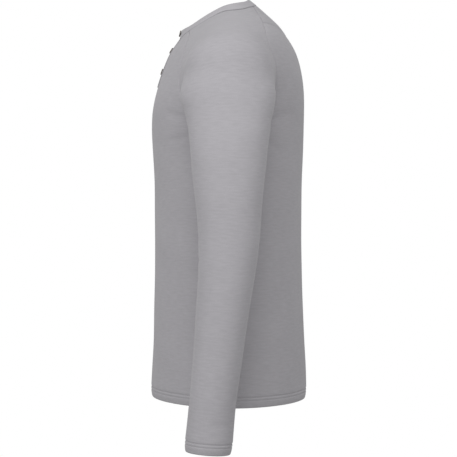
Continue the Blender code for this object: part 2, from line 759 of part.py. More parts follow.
def drill_for(made):
    """Four round cutters, through a button's holes."""
    cutters = bmesh.new()
    for x in (-0.5, 0.5):
        for y in (-0.5, 0.5):
            place = Matrix.Translation((x * BUTTON_HOLE_PITCH, y * BUTTON_HOLE_PITCH, 0))
            bmesh.ops.create_cone(
                cutters, cap_ends=True, segments=BUTTON_HOLE_SIDES, radius1=BUTTON_HOLE_RADIUS,
                radius2=BUTTON_HOLE_RADIUS, depth=DRILL_DEPTH, matrix=place,
            )
    mesh = bpy.data.meshes.new(made.name + "_holes")
    cutters.to_mesh(mesh)
    cutters.free()
    drill = bpy.data.objects.new(made.name + "_holes", mesh)
    bpy.context.scene.collection.objects.link(drill)
    drill.parent = made
    drill.hide_render = True
    drill.display_type = "WIRE"
    return drill


def buttons():
    """One button on the neckband's left end, the others down the placket."""
    grid, normals, lengths = band_grid()
    middle = int(np.argmin(np.abs(lengths)))
    line, out = grid[:, middle], normals[1, middle]
    share = (BUTTON_Z[0] - line[0, 2]) / (line[-1, 2] - line[0, 2])
    seat = line[0] + share * (line[-1] - line[0]) + (BAND_OVER + LAYER_GAP) * out
    button("button_1", seat, out)
    for k, z in enumerate(BUTTON_Z[1:], start=2):
        face = at_angle(0.0, z)
        out = out_of(face)
        button(f"button_{k}", face + (2 * LAYER_GAP + PLACKET_CLOTH) * out, out)


def main():
    """Builds the shirt in an empty scene."""
    for thing in list(bpy.data.objects):
        bpy.data.objects.remove(thing, do_unlink=True)
    grid, normals = front_grid()
    front_panel(grid, normals)
    back_panels()
    sleeves()
    neckband()
    placket(grid, normals)
    buttons()


main()
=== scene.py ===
"""Looks of a long-sleeved henley shirt in light grey melange jersey, hollow as it is worn.

Each panel of cloth is knitted finer through the corners of its frame node: a grid of points is
read from the outer side of the node's wall, smooth surfaces are drawn through it, and a thin
sheet of jersey with turned seams, folded hems and soft creases is laid on them. Stitches,
buttonholes and buttons follow the same surfaces.
"""

import heapq
import itertools
import json
import math

import bmesh
import bpy
import numpy as np
from mathutils import Matrix, Vector

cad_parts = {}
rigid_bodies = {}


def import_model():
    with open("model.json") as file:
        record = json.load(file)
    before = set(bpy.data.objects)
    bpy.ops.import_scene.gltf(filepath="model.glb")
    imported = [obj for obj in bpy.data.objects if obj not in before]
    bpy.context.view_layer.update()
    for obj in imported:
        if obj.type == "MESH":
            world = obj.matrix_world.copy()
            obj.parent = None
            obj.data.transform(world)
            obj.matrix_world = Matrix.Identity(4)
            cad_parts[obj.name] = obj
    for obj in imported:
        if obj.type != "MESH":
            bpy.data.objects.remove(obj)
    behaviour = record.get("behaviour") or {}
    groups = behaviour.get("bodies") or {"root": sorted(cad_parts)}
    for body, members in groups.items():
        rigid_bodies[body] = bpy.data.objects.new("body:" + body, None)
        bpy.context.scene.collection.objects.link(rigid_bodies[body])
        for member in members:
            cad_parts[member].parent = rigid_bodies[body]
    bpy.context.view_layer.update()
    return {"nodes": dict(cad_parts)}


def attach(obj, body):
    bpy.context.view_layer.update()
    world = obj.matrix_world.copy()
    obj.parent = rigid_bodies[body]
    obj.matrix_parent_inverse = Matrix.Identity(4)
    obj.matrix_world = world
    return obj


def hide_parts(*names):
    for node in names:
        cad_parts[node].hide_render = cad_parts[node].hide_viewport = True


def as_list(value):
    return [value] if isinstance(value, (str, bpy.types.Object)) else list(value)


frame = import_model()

MM = 0.001

# Cloth.
JERSEY = 0.9 * MM
STEP = 3.6 * MM  # between the points of a panel
BAND_THICK = 2.2 * MM
PLACKET_THICK = 1.7 * MM
FINE_STEP = 2.4 * MM  # between the points of a narrow strip
SPREAD = 4.0 * MM  # between the points that creases are laid on
NUDGE = 0.0005  # share of a spline's length over which its end slope is read
WELD = 0.00001
SURE = 9.0  # surer than any guess
WALL = 3 * MM  # wider than any wall of the frame and narrower than any of its squares
SLOPE_REACH = 0.4 * MM  # to either side of a place, to read which way the cloth faces
SLOT_COLUMNS = [9, 11]  # of the front's grid, at the sides of the placket's slot

# The edge of a panel, from its end inwards: how far from the seam, how deep below the cloth's form,
# and the share of the cloth's thickness there. It turns in, and its allowance runs on under the
# panel beyond the seam.
SEAM_EDGE = (
    (-1.30 * MM, 2.60 * MM, 0.5),
    (-0.50 * MM, 2.00 * MM, 1.0),
    (0.10 * MM, 1.55 * MM, 1.0),
    (0.75 * MM, 1.08 * MM, 1.0),
    (1.70 * MM, 0.66 * MM, 1.0),
    (3.10 * MM, 0.28 * MM, 1.0),
    (5.00 * MM, 0.04 * MM, 1.0),
)
YOKE_EDGE = (
    (-1.30 * MM, 3.40 * MM, 0.5),
    (-0.50 * MM, 2.80 * MM, 1.0),
    (0.10 * MM, 2.30 * MM, 1.0),
    (0.80 * MM, 1.75 * MM, 1.0),
    (1.70 * MM, 1.15 * MM, 1.0),
    (3.00 * MM, 0.62 * MM, 1.0),
    (4.60 * MM, 0.24 * MM, 1.0),
    (6.60 * MM, 0.04 * MM, 1.0),
)
NECK_EDGE = (
    (-1.40 * MM, 1.50 * MM, 0.5),
    (-0.50 * MM, 1.05 * MM, 1.0),
    (0.20 * MM, 0.72 * MM, 1.0),
    (0.80 * MM, 0.42 * MM, 1.0),
    (1.60 * MM, 0.15 * MM, 1.0),
    (2.60 * MM, 0.03 * MM, 1.0),
)
PLAIN_EDGE = ((0.0, 0.0, 1.0),)
ROUND_EDGE = (
    (0.00 * MM, 0.0, 0.00),
    (0.12 * MM, 0.0, 0.48),
    (0.40 * MM, 0.0, 0.78),
    (0.95 * MM, 0.0, 1.00),
)

# A hem, from above it down to its fold and up again behind, as height over the edge, depth below
# the form and share of the thickness. Two rows of stitches hold it and draw it in.
HEM_STITCH_1 = 12.0 * MM
HEM_STITCH_2 = 17.2 * MM
HEM = (
    (24.0 * MM, 0.00 * MM, 1.0),
    (20.6 * MM, 0.05 * MM, 1.0),
    (19.2 * MM, 0.20 * MM, 1.0),
    (18.3 * MM, 0.60 * MM, 1.0),
    (HEM_STITCH_2, 1.15 * MM, 1.0),
    (16.1 * MM, 0.62 * MM, 1.0),
    (15.2 * MM, 0.36 * MM, 1.0),
    (14.0 * MM, 0.36 * MM, 1.0),
    (13.1 * MM, 0.66 * MM, 1.0),
    (HEM_STITCH_1, 1.25 * MM, 1.0),
    (10.9 * MM, 0.75 * MM, 1.0),
    (9.8 * MM, 0.62 * MM, 1.0),
    (7.0 * MM, 1.00 * MM, 1.0),
    (4.0 * MM, 1.55 * MM, 1.0),
    (2.0 * MM, 2.05 * MM, 1.0),
    (0.9 * MM, 2.40 * MM, 1.0),
    (0.3 * MM, 2.75 * MM, 1.0),
    (0.1 * MM, 3.10 * MM, 1.0),
    (0.3 * MM, 3.50 * MM, 1.0),
    (1.0 * MM, 3.80 * MM, 1.0),
    (3.0 * MM, 3.80 * MM, 1.0),
    (8.0 * MM, 3.10 * MM, 1.0),
    (HEM_STITCH_1, 2.60 * MM, 1.0),
    (HEM_STITCH_2, 2.45 * MM, 1.0),
    (18.6 * MM, 2.35 * MM, 1.0),
    (19.0 * MM, 2.35 * MM, 0.0),
)

HEM_INSIDE = 2.0 * MM  # deeper than any stitch, less deep than what is turned up

# Stitches: length, width and height.
STITCH_PITCH = 3.1 * MM
SEAM_STITCH = (2.7 * MM, 0.45 * MM, 0.40 * MM)
HOLE_PITCH = 0.48 * MM
HOLE_STITCH = (1.5 * MM, 0.46 * MM, 0.50 * MM)
HOLE_LENGTH = 14.0 * MM
HOLE_HALF_WIDTH = 0.85 * MM
BAR_STITCH = (3.3 * MM, 0.50 * MM, 0.55 * MM)
BAR_HALF = 0.5 * MM  # along the slit
FINE_ROWS = 200  # of the points among which a button's place on its panel is found
FINE_COLUMNS = 400
RUN_POINTS = 1500  # read along a run of stitches to space them evenly

# Rows of stitches on the placket, in from its edges, and the groove that they press.
PLACKET_SIDE = 1.9 * MM
PLACKET_LOW = 2.2 * MM
PLACKET_BOX = 11.0 * MM  # the upper row across its foot
GROOVE_DEPTH = 0.42 * MM
GROOVE_HALF_WIDTH = 0.62 * MM
GROOVE_STOPS = (-1.3 * MM, -0.6 * MM, 0.0, 0.6 * MM, 1.3 * MM)

# How far the neckband's lower edge is pressed in past its lap, by the place along it, and the share
# of that at its upper edge.
LAP_SETTLES = (
    (25.5 * MM, 0.00 * MM),
    (30.0 * MM, 1.60 * MM),
    (36.0 * MM, 1.50 * MM),
    (41.0 * MM, 1.10 * MM),
    (46.0 * MM, 0.65 * MM),
    (52.0 * MM, 0.22 * MM),
    (58.0 * MM, 0.00 * MM),
)
LAP_TOP_SHARE = 0.35

# Buttons.
BUTTON_RADIUS = 5.75 * MM
BUTTON_HEIGHT = 2.0 * MM
BUTTON_RIM = 1.15 * MM
BUTTON_SLOPE = (0.45 * MM, -0.40 * MM)  # from the rim into the dish, as width and depth
BUTTON_DISH = (1.00 * MM, -0.12 * MM)
BUTTON_ROUNDING = 0.5 * MM
BUTTON_HOLE_RADIUS = 0.72 * MM
BUTTON_HOLE_OFFSET = 1.3 * MM
BUTTON_THREAD = (3.3 * MM, 0.36 * MM, 0.50 * MM)
BUTTON_STRANDS = (-0.3 * MM, 0.0, 0.3 * MM)  # side by side from hole to hole
BUTTON_STRAND_DEPTH = 0.30 * MM  # below the top of the rim
SMALL = 0.1 * MM


# ---------------------------------------------------------------- grids of the frame's nodes


def outer_side(node, seat, outward):
    """The outer side of a node's wall as merged triangles, and the one nearest to seat: the faces that
    are reached from there without crossing the wall's rim."""
    mesh = bmesh.new()
    mesh.from_mesh(frame["nodes"][node].data)
    bmesh.ops.remove_doubles(mesh, verts=mesh.verts, dist=WELD)
    mesh.normal_update()
    broad = {face for face in mesh.faces if min(edge.calc_length() for edge in face.edges) > WALL}
    facing = [face for face in broad if face.normal.dot(Vector(outward)) > 0.5]
    start = min(facing, key=lambda face: (face.calc_center_median() - Vector(seat)).length)
    found, waiting = {start}, [start]
    while waiting:
        face = waiting.pop()
        for edge in face.edges:
            for other in edge.link_faces:
                if other in broad and other not in found:
                    found.add(other)
                    waiting.append(other)
    bmesh.ops.delete(mesh, geom=[face for face in mesh.faces if face not in found], context="FACES")
    return mesh, start


def first_places(face):
    """Places in the grid, as row and column, of the corners of a triangle: rows run downwards, and
    columns to the right as seen from outside. Its longest side is a square's diagonal."""
    edge = max(face.edges, key=lambda e: e.calc_length())
    corner = next(v for v in face.verts if v not in edge.verts)
    right = Vector((0, 0, 1)).cross(face.normal)
    one, other = edge.verts
    if abs((one.co - corner.co).normalized().z) < abs((other.co - corner.co).normalized().z):
        one, other = other, one
    row = 1 if one.co.z < corner.co.z else -1
    column = 1 if (other.co - corner.co).dot(right) > 0 else -1
    return {corner: (0, 0), one: (row, 0), other: (0, column)}


def next_place(p, q, r, x, places):
    """The place of x, the far corner of the triangle beyond the side p-q of the triangle p, q, r, and
    how sure it is."""
    if x in places:
        return places[x], SURE
    (pi, pj), (qi, qj), (ri, rj) = places[p], places[q], places[r]
    if pi != qi and pj != qj:
        return (pi + qi - ri, pj + qj - rj), SURE
    # beyond a side of its square, x goes on from p or from q, whichever is straighter
    step = (pi - ri, 0) if pi == qi else (0, pj - rj)
    behind = p if (ri + step[0], rj + step[1]) == (pi, pj) else q
    ahead = behind.co - r.co
    start, other = sorted((p, q), key=lambda v: (v.co + ahead - x.co).length)
    lead = (other.co + ahead - x.co).length - (start.co + ahead - x.co).length
    return (places[start][0] + step[0], places[start][1] + step[1]), lead / (p.co - q.co).length


def cut_open(mesh):
    """Cuts a sleeve open along the seam under the arm, from the lowest point of its armhole down."""
    rims = [edge for edge in mesh.edges if edge.is_boundary]
    top = max((v for edge in rims for v in edge.verts), key=lambda v: v.co.z)
    armhole, waiting = {top}, [top]
    while waiting:
        for edge in waiting.pop().link_edges:
            if edge.is_boundary:
                for v in edge.verts:
                    if v not in armhole:
                        armhole.add(v)
                        waiting.append(v)
    if len(armhole) == len({v for edge in rims for v in edge.verts}):
        return
    at, seam = min(armhole, key=lambda v: v.co.z), []
    while at in armhole or not at.is_boundary:
        steepest = max(at.link_edges, key=lambda e: (at.co.z - e.other_vert(at).co.z) / e.calc_length())
        seam.append(steepest)
        at = steepest.other_vert(at)
    bmesh.ops.split_edges(mesh, edges=seam)


def grid_of(node, seat, outward):
    """A wall's outer points in rows from the top, each from left to right as seen from outside, and
    the set of its squares. A point inside an opening is nan."""
    mesh, start = outer_side(node, seat, outward)
    cut_open(mesh)
    places = first_places(start)
    done, order = {start}, itertools.count()
    waiting = []

    def look_beyond(face):
        for edge in face.edges:
            p, q = edge.verts
            r = next(v for v in face.verts if v not in edge.verts)
            for other in edge.link_faces:
                if other not in done:
                    x = next(v for v in other.verts if v not in edge.verts)
                    sure = next_place(p, q, r, x, places)[1]
                    heapq.heappush(waiting, (-sure, next(order), other, (p, q, r, x)))

    look_beyond(start)
    while waiting:
        face, (p, q, r, x) = heapq.heappop(waiting)[2:]
        if face not in done:
            done.add(face)
            places[x] = next_place(p, q, r, x, places)[0]
            look_beyond(face)
    top, left = (min(spot[k] for spot in places.values()) for k in (0, 1))
    size = tuple(max(spot[k] for spot in places.values()) + 1 for k in (0, 1))
    points, squares = np.full((size[0] - top, size[1] - left, 3), np.nan), set()
    for vertex, (i, j) in places.items():
        points[i - top, j - left] = vertex.co
    for face in mesh.faces:
        rows, columns = zip(*(places[v] for v in face.verts))
        squares.add((min(rows) - top, min(columns) - left))
    mesh.free()
    return points, squares


def spline(knots, at):
    """The matrix that reads a natural cubic spline through values at the knots. It runs on straight
    beyond the first knot and the last."""
    count = len(knots)
    step = np.diff(knots)
    system, right = np.eye(count), np.zeros((count, count))
    for i in range(1, count - 1):
        system[i, i - 1 : i + 2] = step[i - 1], 2 * (step[i - 1] + step[i]), step[i]
        right[i, i - 1] += 6 / step[i - 1]
        right[i, i] -= 6 / step[i - 1] + 6 / step[i]
        right[i, i + 1] += 6 / step[i]
    bend = np.linalg.solve(system, right)
    unit = np.eye(count)

    def read(at):
        i = np.clip(np.searchsorted(knots, at) - 1, 0, count - 2)
        h, a, b = step[i], at - knots[i], knots[i + 1] - at
        cubic = (bend[i] * (b**3)[:, None] + bend[i + 1] * (a**3)[:, None]) / (6 * h)[:, None]
        line = (unit[i] / h[:, None] - bend[i] * (h / 6)[:, None]) * b[:, None]
        return cubic + line + (unit[i + 1] / h[:, None] - bend[i + 1] * (h / 6)[:, None]) * a[:, None]

    at = np.asarray(at, float)
    inside = np.clip(at, knots[0], knots[-1])
    beyond = (at - inside)[:, None]
    inwards = inside - np.sign(at - inside) * NUDGE * (knots[-1] - knots[0])
    slope = (read(inside) - read(inwards)) / np.where(beyond == 0, 1, (inside - inwards)[:, None])
    return read(inside) + beyond * slope


def lengths(points):
    """Running length along the first axis of a grid of points."""
    steps = np.linalg.norm(np.diff(points, axis=0), axis=-1)
    return np.concatenate([np.zeros((1, *steps.shape[1:])), np.cumsum(steps, axis=0)])


class Panel:
    """A smooth surface through the outer points of a node, in metres down and across."""

    def __init__(self, node, seat, outward):
        self.node = node
        self.points, self.squares = grid_of(node, seat, outward)
        self.fill_gaps()
        self.rows = lengths(self.points).mean(axis=1)
        self.columns = lengths(self.points.transpose(1, 0, 2)).mean(axis=1)
        self.length, self.width = self.rows[-1], self.columns[-1]
        self.flip = -1 if self.slopes_inwards(outward, seat) else 1

    def fill_gaps(self):
        """Points inside an opening are drawn across it from the rest of their row."""
        for row in self.points:
            missing = np.isnan(row[:, 0])
            if missing.any():
                there = np.flatnonzero(~missing).astype(float)
                row[missing] = spline(there, np.flatnonzero(missing)) @ row[~missing]

    def slopes_inwards(self, outward, seat):
        """Whether the grid's own normals point into the shirt."""
        across = self.points[:, 1:] - self.points[:, :-1]
        down = self.points[1:] - self.points[:-1]
        normals = np.cross(down[:, :-1], across[:-1])
        near = np.linalg.norm(self.points[:-1, :-1] - np.array(seat), axis=-1).argmin()
        return normals.reshape(-1, 3)[near] @ np.array(outward) < 0

    def grid(self, down, across):
        """The points of every row in down at every place in across."""
        rows, columns = spline(self.rows, down), spline(self.columns, across)
        return np.einsum("ai,bj,ijk->abk", rows, columns, self.points)

    def line(self, down, across):
        """The points at pairs of places."""
        rows, columns = spline(self.rows, down), spline(self.columns, across)
        return np.einsum("ai,aj,ijk->ak", rows, columns, self.points)

    def spread(self):
        """Points all over the surface, a few millimetres apart."""
        down = np.linspace(0, self.length, max(2, round(self.length / SPREAD)))
        across = np.linspace(0, self.width, max(2, round(self.width / SPREAD)))
        return self.grid(down, across).reshape(-1, 3)

    def normals(self, read, down, across):
        """Outward directions of what read gives, which is self.grid or self.line."""
        down, across = np.clip(down, 0, self.length), np.clip(across, 0, self.width)
        low, high = (np.clip(down + side * SLOPE_REACH, 0, self.length) for side in (-1, 1))
        left, right = (np.clip(across + side * SLOPE_REACH, 0, self.width) for side in (-1, 1))
        along = read(high, across) - read(low, across)
        over = read(down, right) - read(down, left)
        found = self.flip * np.cross(along, over)
        return found / np.maximum(np.linalg.norm(found, axis=-1, keepdims=True), 1e-12)


# ---------------------------------------------------------------- creases

SWELL = 0.35 * MM
RIPPLE = 0.20 * MM


def unevenness(points):
    """A slow swell of the cloth, in metres: no panel of jersey is quite even."""
    x, y, z = points[..., 0], points[..., 1], points[..., 2]
    swell = np.sin(31 * x + 17 * z + 1.3) * np.sin(23 * y - 29 * z + 0.4)
    ripple = np.sin(57 * x - 41 * y + 26 * z) * np.sin(38 * z + 19 * y + 2.1)
    return SWELL * swell + RIPPLE * ripple


# Troughs of the left half: start, middle, end, half width and depth. The right half's are made from
# them, a little uneven.
CREASES = (
    # from the underarm up over the chest, and up the back
    ((0.158, -0.060, -0.205), (0.140, -0.088, -0.188), (0.112, -0.108, -0.180), 9 * MM, 1.5 * MM),
    ((0.160, -0.040, -0.222), (0.146, -0.080, -0.226), (0.120, -0.105, -0.232), 8 * MM, 1.3 * MM),
    ((0.158, 0.060, -0.205), (0.140, 0.092, -0.190), (0.105, 0.112, -0.182), 10 * MM, 1.1 * MM),
    ((0.162, 0.035, -0.226), (0.148, 0.072, -0.238), (0.118, 0.100, -0.252), 9 * MM, 1.0 * MM),
    # from the underarm into the sleeve, front and back
    ((0.176, -0.050, -0.205), (0.200, -0.072, -0.190), (0.222, -0.072, -0.182), 8 * MM, 1.0 * MM),
    ((0.178, 0.046, -0.215), (0.202, 0.066, -0.205), (0.228, 0.066, -0.200), 9 * MM, 1.1 * MM),
    # across the inside and the front of the elbow
    ((0.205, -0.030, -0.405), (0.225, -0.048, -0.400), (0.255, -0.050, -0.392), 7 * MM, 1.0 * MM),
    ((0.206, -0.034, -0.432), (0.228, -0.052, -0.436), (0.262, -0.052, -0.430), 7 * MM, 1.2 * MM),
    ((0.208, -0.036, -0.466), (0.226, -0.050, -0.463), (0.248, -0.055, -0.456), 6 * MM, 0.8 * MM),
    # short faint ones on the outside of the arm
    ((0.286, -0.023, -0.467), (0.289, -0.012, -0.472), (0.290, -0.001, -0.468), 5 * MM, 0.7 * MM),
    ((0.231, -0.004, -0.106), (0.231, 0.006, -0.112), (0.230, 0.018, -0.111), 5 * MM, 0.6 * MM),
    # above the cuff
    ((0.222, -0.050, -0.655), (0.240, -0.064, -0.662), (0.268, -0.064, -0.660), 6 * MM, 0.7 * MM),
    ((0.290, -0.030, -0.690), (0.286, -0.008, -0.696), (0.270, 0.004, -0.693), 6 * MM, 0.6 * MM),
    # long soft falls of the body
    ((0.128, 0.090, -0.330), (0.130, 0.092, -0.470), (0.136, 0.092, -0.640), 24 * MM, 1.6 * MM),
    ((0.062, 0.124, -0.400), (0.066, 0.124, -0.520), (0.074, 0.126, -0.660), 26 * MM, 1.5 * MM),
    ((0.118, -0.096, -0.360), (0.122, -0.096, -0.500), (0.128, -0.096, -0.650), 24 * MM, 1.5 * MM),
)
CREASE_POINTS = 25
CREASE_NEAR = 0.25  # from a crease's middle, in metres: it has no effect farther off
CREASE_BANK = 0.55  # how much the cloth rises beside a trough
CREASE_ENDS = 1.5  # points past either end at which a crease has faded out
CREASE_FADE = 0.8  # the power of its fading: below 1 it keeps its depth for longer
RIGHT_SHIFT = (0.0, 0.003, -0.009)
RIGHT_SHARE = (0.8, 1.15, 0.7, 1.0)  # of the depth, taken in turn

# Where the cloth stands out, at the top of the arms, and where it lies lower, beside the neckband:
# middle, radius and height.
FULL = (
    ((0.243, -0.005, -0.150), 55 * MM, 4.0 * MM),
    ((-0.243, -0.005, -0.150), 55 * MM, 4.0 * MM),
    ((0.093, -0.056, -0.027), 45 * MM, -6.0 * MM),
    ((-0.093, -0.056, -0.027), 45 * MM, -6.0 * MM),
)


def crease_lines():
    """Every crease as a line of points on the cloth, with its half width and depth."""
    cloth = np.concatenate([panel.spread() for panel in PANELS.values()])

    def laid(line):
        return cloth[[np.linalg.norm(cloth - point, axis=1).argmin() for point in line]]

    along = np.linspace(0, 1, CREASE_POINTS)[:, None]
    for number, (start, middle, end, half_width, depth) in enumerate(CREASES):
        start, middle, end = np.array(start), np.array(middle), np.array(end)
        first, last = (1 - along) * start + along * middle, (1 - along) * middle + along * end
        line = (1 - along) * first + along * last
        yield laid(line), half_width, depth
        mirrored = line * (-1, 1, 1) + RIGHT_SHIFT
        yield laid(mirrored), half_width, depth * RIGHT_SHARE[number % len(RIGHT_SHARE)]


def fullness(points):
    """How far the cloth stands out at points in its full and low places, in metres."""
    out = 0
    for middle, radius, height in FULL:
        out = out + height * np.exp(-((np.linalg.norm(points - middle, axis=-1) / radius) ** 2))
    return out


def relief(points):
    """How far the cloth stands out of its form at points, in metres."""
    flat = points.reshape(-1, 3)
    out = unevenness(flat)
    for line, half_width, depth in LAID_CREASES:
        near = np.flatnonzero(np.linalg.norm(flat - line.mean(axis=0), axis=1) < CREASE_NEAR)
        if not len(near):
            continue
        gaps = np.linalg.norm(flat[near, None] - line[None], axis=2)
        nearest = gaps.argmin(axis=1)
        away = gaps.min(axis=1) / half_width
        share = np.clip((nearest + CREASE_ENDS) / (CREASE_POINTS + 2), 0, 1)
        fade = np.sin(np.pi * share) ** CREASE_FADE
        out[near] -= depth * fade * (1 - CREASE_BANK * away**2) * np.exp(-(away**2))
    return (out + fullness(flat)).reshape(points.shape[:-1])


# ---------------------------------------------------------------- sheets of cloth


def stops(length, first, last, step, also=()):
    """Places across or down a panel with the depth and fullness of the cloth there: the rows of the
    edge tables at both ends, and even steps between them and the places in also."""
    start = [(away, depth, full) for away, depth, full in first]
    end = [(length - away, depth, full) for away, depth, full in last][::-1]
    low, high = start[-1][0], end[0][0]
    marks = sorted({low, high, *[a for a in also if low < a < high]})
    middle = []
    for a, b in zip(marks, marks[1:]):
        middle += list(np.linspace(a, b, max(2, round((b - a) / step) + 1))[1:])
    return np.array(start + [(m, 0.0, 1.0) for m in middle[:-1]] + end)


def hem_stops(length, first, step):
    """The same for the rows of a panel that ends in a hem."""
    top = stops(length - HEM[0][0], first, PLAIN_EDGE, step)
    return np.concatenate([top[:-1], [(length - height, depth, full) for height, depth, full in HEM]])


def knit(name, panel, down, across, thick, slot, pressed=None):
    """A sheet of cloth on a panel's surface, of the rows and columns that down and across give, and
    pressed in as far as pressed says."""
    base = panel.grid(down[:, 0], across[:, 0])
    out = panel.normals(panel.grid, down[:, 0], across[:, 0])
    depth = down[:, None, 1] + across[None, :, 1] - relief(base)
    if pressed is not None:
        depth = depth + pressed(down[:, None, 0], across[None, :, 0])
    middle = base - out * (depth + thick / 2)[..., None]
    turned = panel.flip * np.cross(np.gradient(middle, axis=0), np.gradient(middle, axis=1))
    turned /= np.maximum(np.linalg.norm(turned, axis=-1, keepdims=True), 1e-12)
    half = thick / 2 * (down[:, None, 2] * across[None, :, 2])[..., None] * turned
    rows, columns = len(down), len(across)
    ran = lengths(middle.transpose(1, 0, 2)).T
    u = ran - ran[:, columns // 2, None]
    v = np.broadcast_to(-down[:, None, 0], u.shape)

    def kept(i, j):
        """Whether the frame's panel has cloth in the square at row i and column j."""
        s, t = (down[i, 0] + down[i + 1, 0]) / 2, (across[j, 0] + across[j + 1, 0]) / 2
        row = np.clip(np.searchsorted(panel.rows, s) - 1, 0, len(panel.rows) - 2)
        column = np.clip(np.searchsorted(panel.columns, t) - 1, 0, len(panel.columns) - 2)
        return (row, column) in panel.squares

    shift = rows * columns
    squares = []
    for i in range(rows - 1):
        for j in range(columns - 1):
            if kept(i, j):
                a = i * columns + j
                squares.append((a, a + columns, a + columns + 1, a + 1)[:: panel.flip])
    sides = {(a, b) for square in squares for a, b in zip(square, square[1:] + square[:1])}
    rims = [(b, a, a + shift, b + shift) for a, b in sides if (b, a) not in sides]
    backs = [tuple(corner + shift for corner in reversed(square)) for square in squares]
    faces = squares + backs + sorted(rims)
    points = np.concatenate([(middle + half).reshape(-1, 3), (middle - half).reshape(-1, 3)])
    places = np.concatenate([np.stack([u, v], axis=-1).reshape(-1, 2)] * 2)
    return piece(name, points, faces, slot, panel.node, places)


def piece(name, points, faces, slot, node=None, places=None):
    """A finished mesh, with its places in the cloth if it has them."""
    mesh = bpy.data.meshes.new(name)
    mesh.from_pydata(points.tolist(), [], faces)
    if places is not None:
        layer = mesh.uv_layers.new(name="cloth")
        corners = np.zeros(len(mesh.loops), np.int32)
        mesh.loops.foreach_get("vertex_index", corners)
        layer.data.foreach_set("uv", places[corners].astype(np.float32).ravel())
    welded = bmesh.new()
    welded.from_mesh(mesh)
    bmesh.ops.remove_doubles(welded, verts=welded.verts, dist=WELD)
    bmesh.ops.dissolve_degenerate(welded, edges=welded.edges, dist=WELD / 10)
    loose = [vertex for vertex in welded.verts if not vertex.link_faces]
    bmesh.ops.delete(welded, geom=loose, context="VERTS")
    welded.to_mesh(mesh)
    welded.free()
    mesh.shade_smooth()
    made = bpy.data.objects.new(name, mesh)
    bpy.context.scene.collection.objects.link(made)
    return dressed(made, slot, node)


def dressed(made, slot, node=None):
    """The piece with its material, on its body, in place of its node."""
    made.data.materials.clear()
    made.data.materials.append(MATERIALS[slot])
    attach(made, "root")
    if node:
        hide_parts(node)
    return made


# ---------------------------------------------------------------- stitches


def deselect():
    """Leaves nothing selected: operators act on all that is."""
    bpy.ops.object.select_all(action="DESELECT")


def stitch_form():
    """One stitch as points and faces, a pad of length, width and height 1 that lies along X."""
    deselect()
    bpy.ops.mesh.primitive_uv_sphere_add(segments=6, ring_count=5, radius=0.5)
    pad = bpy.context.object
    points = np.array([vertex.co for vertex in pad.data.vertices])[:, [2, 0, 1]]
    # Sorted, because a sphere's faces come in another order each run.
    faces = sorted(tuple(face.vertices) for face in pad.data.polygons)
    bpy.data.objects.remove(pad)
    return points, faces


def on_cloth(panel, down, across, depth):
    """Points of the finished cloth at pairs of places, depth below the panel, and outwards there."""
    spots = panel.line(down, across)
    out = panel.normals(panel.line, down, across)
    return spots - out * (depth - relief(spots))[:, None], out


def run(panel, corners, depth, pitch=STITCH_PITCH):
    """Stitches evenly along a line through the corners: where they are, the way they lie and out."""
    along = np.linspace(0, len(corners) - 1, RUN_POINTS)
    down, across = (np.interp(along, np.arange(len(corners)), side) for side in np.transpose(corners))
    ran = lengths(panel.line(down, across))
    count = max(3, round(ran[-1] / pitch))
    even = (np.arange(count) + 0.5) * ran[-1] / count
    spots, out = on_cloth(panel, np.interp(even, ran, down), np.interp(even, ran, across), depth)
    way = np.gradient(spots, axis=0)
    way /= np.linalg.norm(way, axis=1, keepdims=True)
    return spots, way, out


def sew(name, runs, size):
    """One mesh of all the stitches in runs."""
    form, form_faces = STITCH
    points, faces, first = [], [], 0
    for spots, way, out in runs:
        placed = 0
        for axis, side in enumerate((way, np.cross(out, way), out)):
            placed = placed + form[None, :, axis, None] * size[axis] * side[:, None]
        points.append((spots[:, None] + placed).reshape(-1, 3))
        for _ in spots:
            faces += [tuple(corner + first for corner in face) for face in form_faces]
            first += len(form)
    return piece(name, np.concatenate(points), faces, "thread")


def hem_runs(panel):
    """The two rows of a hem."""
    return [
        run(panel, [(panel.length - height, 0.0), (panel.length - height, panel.width)], depth)
        for height, depth, _ in HEM
        if height in (HEM_STITCH_1, HEM_STITCH_2) and depth < HEM_INSIDE
    ]


# ---------------------------------------------------------------- materials

MELANGE_TINT = (1.0, 0.973, 1.027)
JERSEY_LEVEL = 0.256
BAND_LEVEL = 0.266  # doubled, so a touch lighter
THREAD_LEVEL = 0.20
MELANGE_SPREAD = 0.09  # of the level, to the lighter and the darker fibres
MELANGE_STOPS = (0.28, 0.72)

# The melange's streaks: how many to a metre across and down, their detail and their share.
FIBRE = ((420.0, 1500.0, 1.0), 2.0, 0.36)
SLUB = ((60.0, 340.0, 1.0), 3.0, 0.44)
CLOUD = ((9.0, 22.0, 1.0), 2.0, 0.20)

WALE = 1.1 * MM
COURSE = 0.9 * MM
LOOP_HEIGHT = -0.6  # of a loop's edge against its middle, where the fibres' height is 1

# Horn-like resin, from its dark clouds to its light ones.
RESIN_DARK = (0.042, 0.035, 0.030, 1.0)
RESIN_LIGHT = (0.130, 0.110, 0.094, 1.0)
RESIN_STOPS = (0.35, 0.70)


def shader_of(name):
    """A new material, its shader and a maker of linked nodes."""
    material = bpy.data.materials.new(name)
    material.use_nodes = True
    tree = material.node_tree

    def node(kind, inputs=(), **settings):
        made = tree.nodes.new(kind)
        for key, value in settings.items():
            setattr(made, key, value)
        for key, value in dict(inputs).items():
            if hasattr(value, "is_output"):
                tree.links.new(value, made.inputs[key])
            else:
                made.inputs[key].default_value = value
        return made

    return material, tree.nodes["Principled BSDF"], node, tree.links


def grey(value):
    """The melange's grey at a level, a touch towards violet."""
    return tuple(value * part for part in MELANGE_TINT) + (1.0,)


